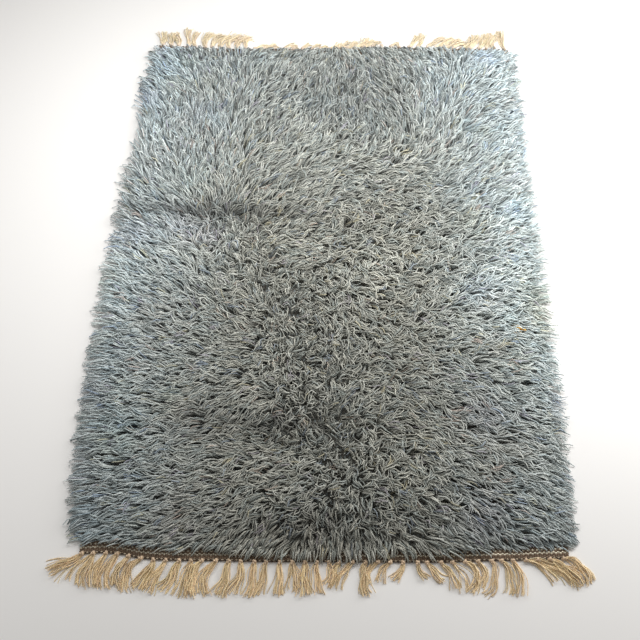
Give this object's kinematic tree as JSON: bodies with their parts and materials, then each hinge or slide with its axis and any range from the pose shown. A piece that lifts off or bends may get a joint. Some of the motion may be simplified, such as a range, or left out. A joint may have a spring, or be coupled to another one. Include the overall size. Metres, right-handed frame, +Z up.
{
  "type": "rya rug",
  "caption": "Rectangular rya rug lying flat, with long shaggy wool pile, a flat-woven heading at each end and knotted warp fringes.",
  "frame": {"origin": "on the floor, under the middle of the woven ground", "axes": "+X across the rug, +Y along its length towards the end with the lower fringe, +Z up"},
  "size_m": [1.1601, 1.6506, 0.0354],
  "materials": {
    "ground_wool": "weft-faced wool weave, matte grey-brown",
    "heading_wool": "flat-woven dark brown wool with cream picks, matte",
    "pile_wool": "long plied wool yarn, heathered pale blue-grey, matte",
    "fringe_linen": "plied linen warp yarn, straw, slight lustre"
  },
  "bodies": {
    "root": {"woven_ground": "ground_wool", "heading_near": "heading_wool", "heading_far": "heading_wool", "shag_pile": "pile_wool", "fringe_near": "fringe_linen", "fringe_far": "fringe_linen"}
  },
  "joints": []
}
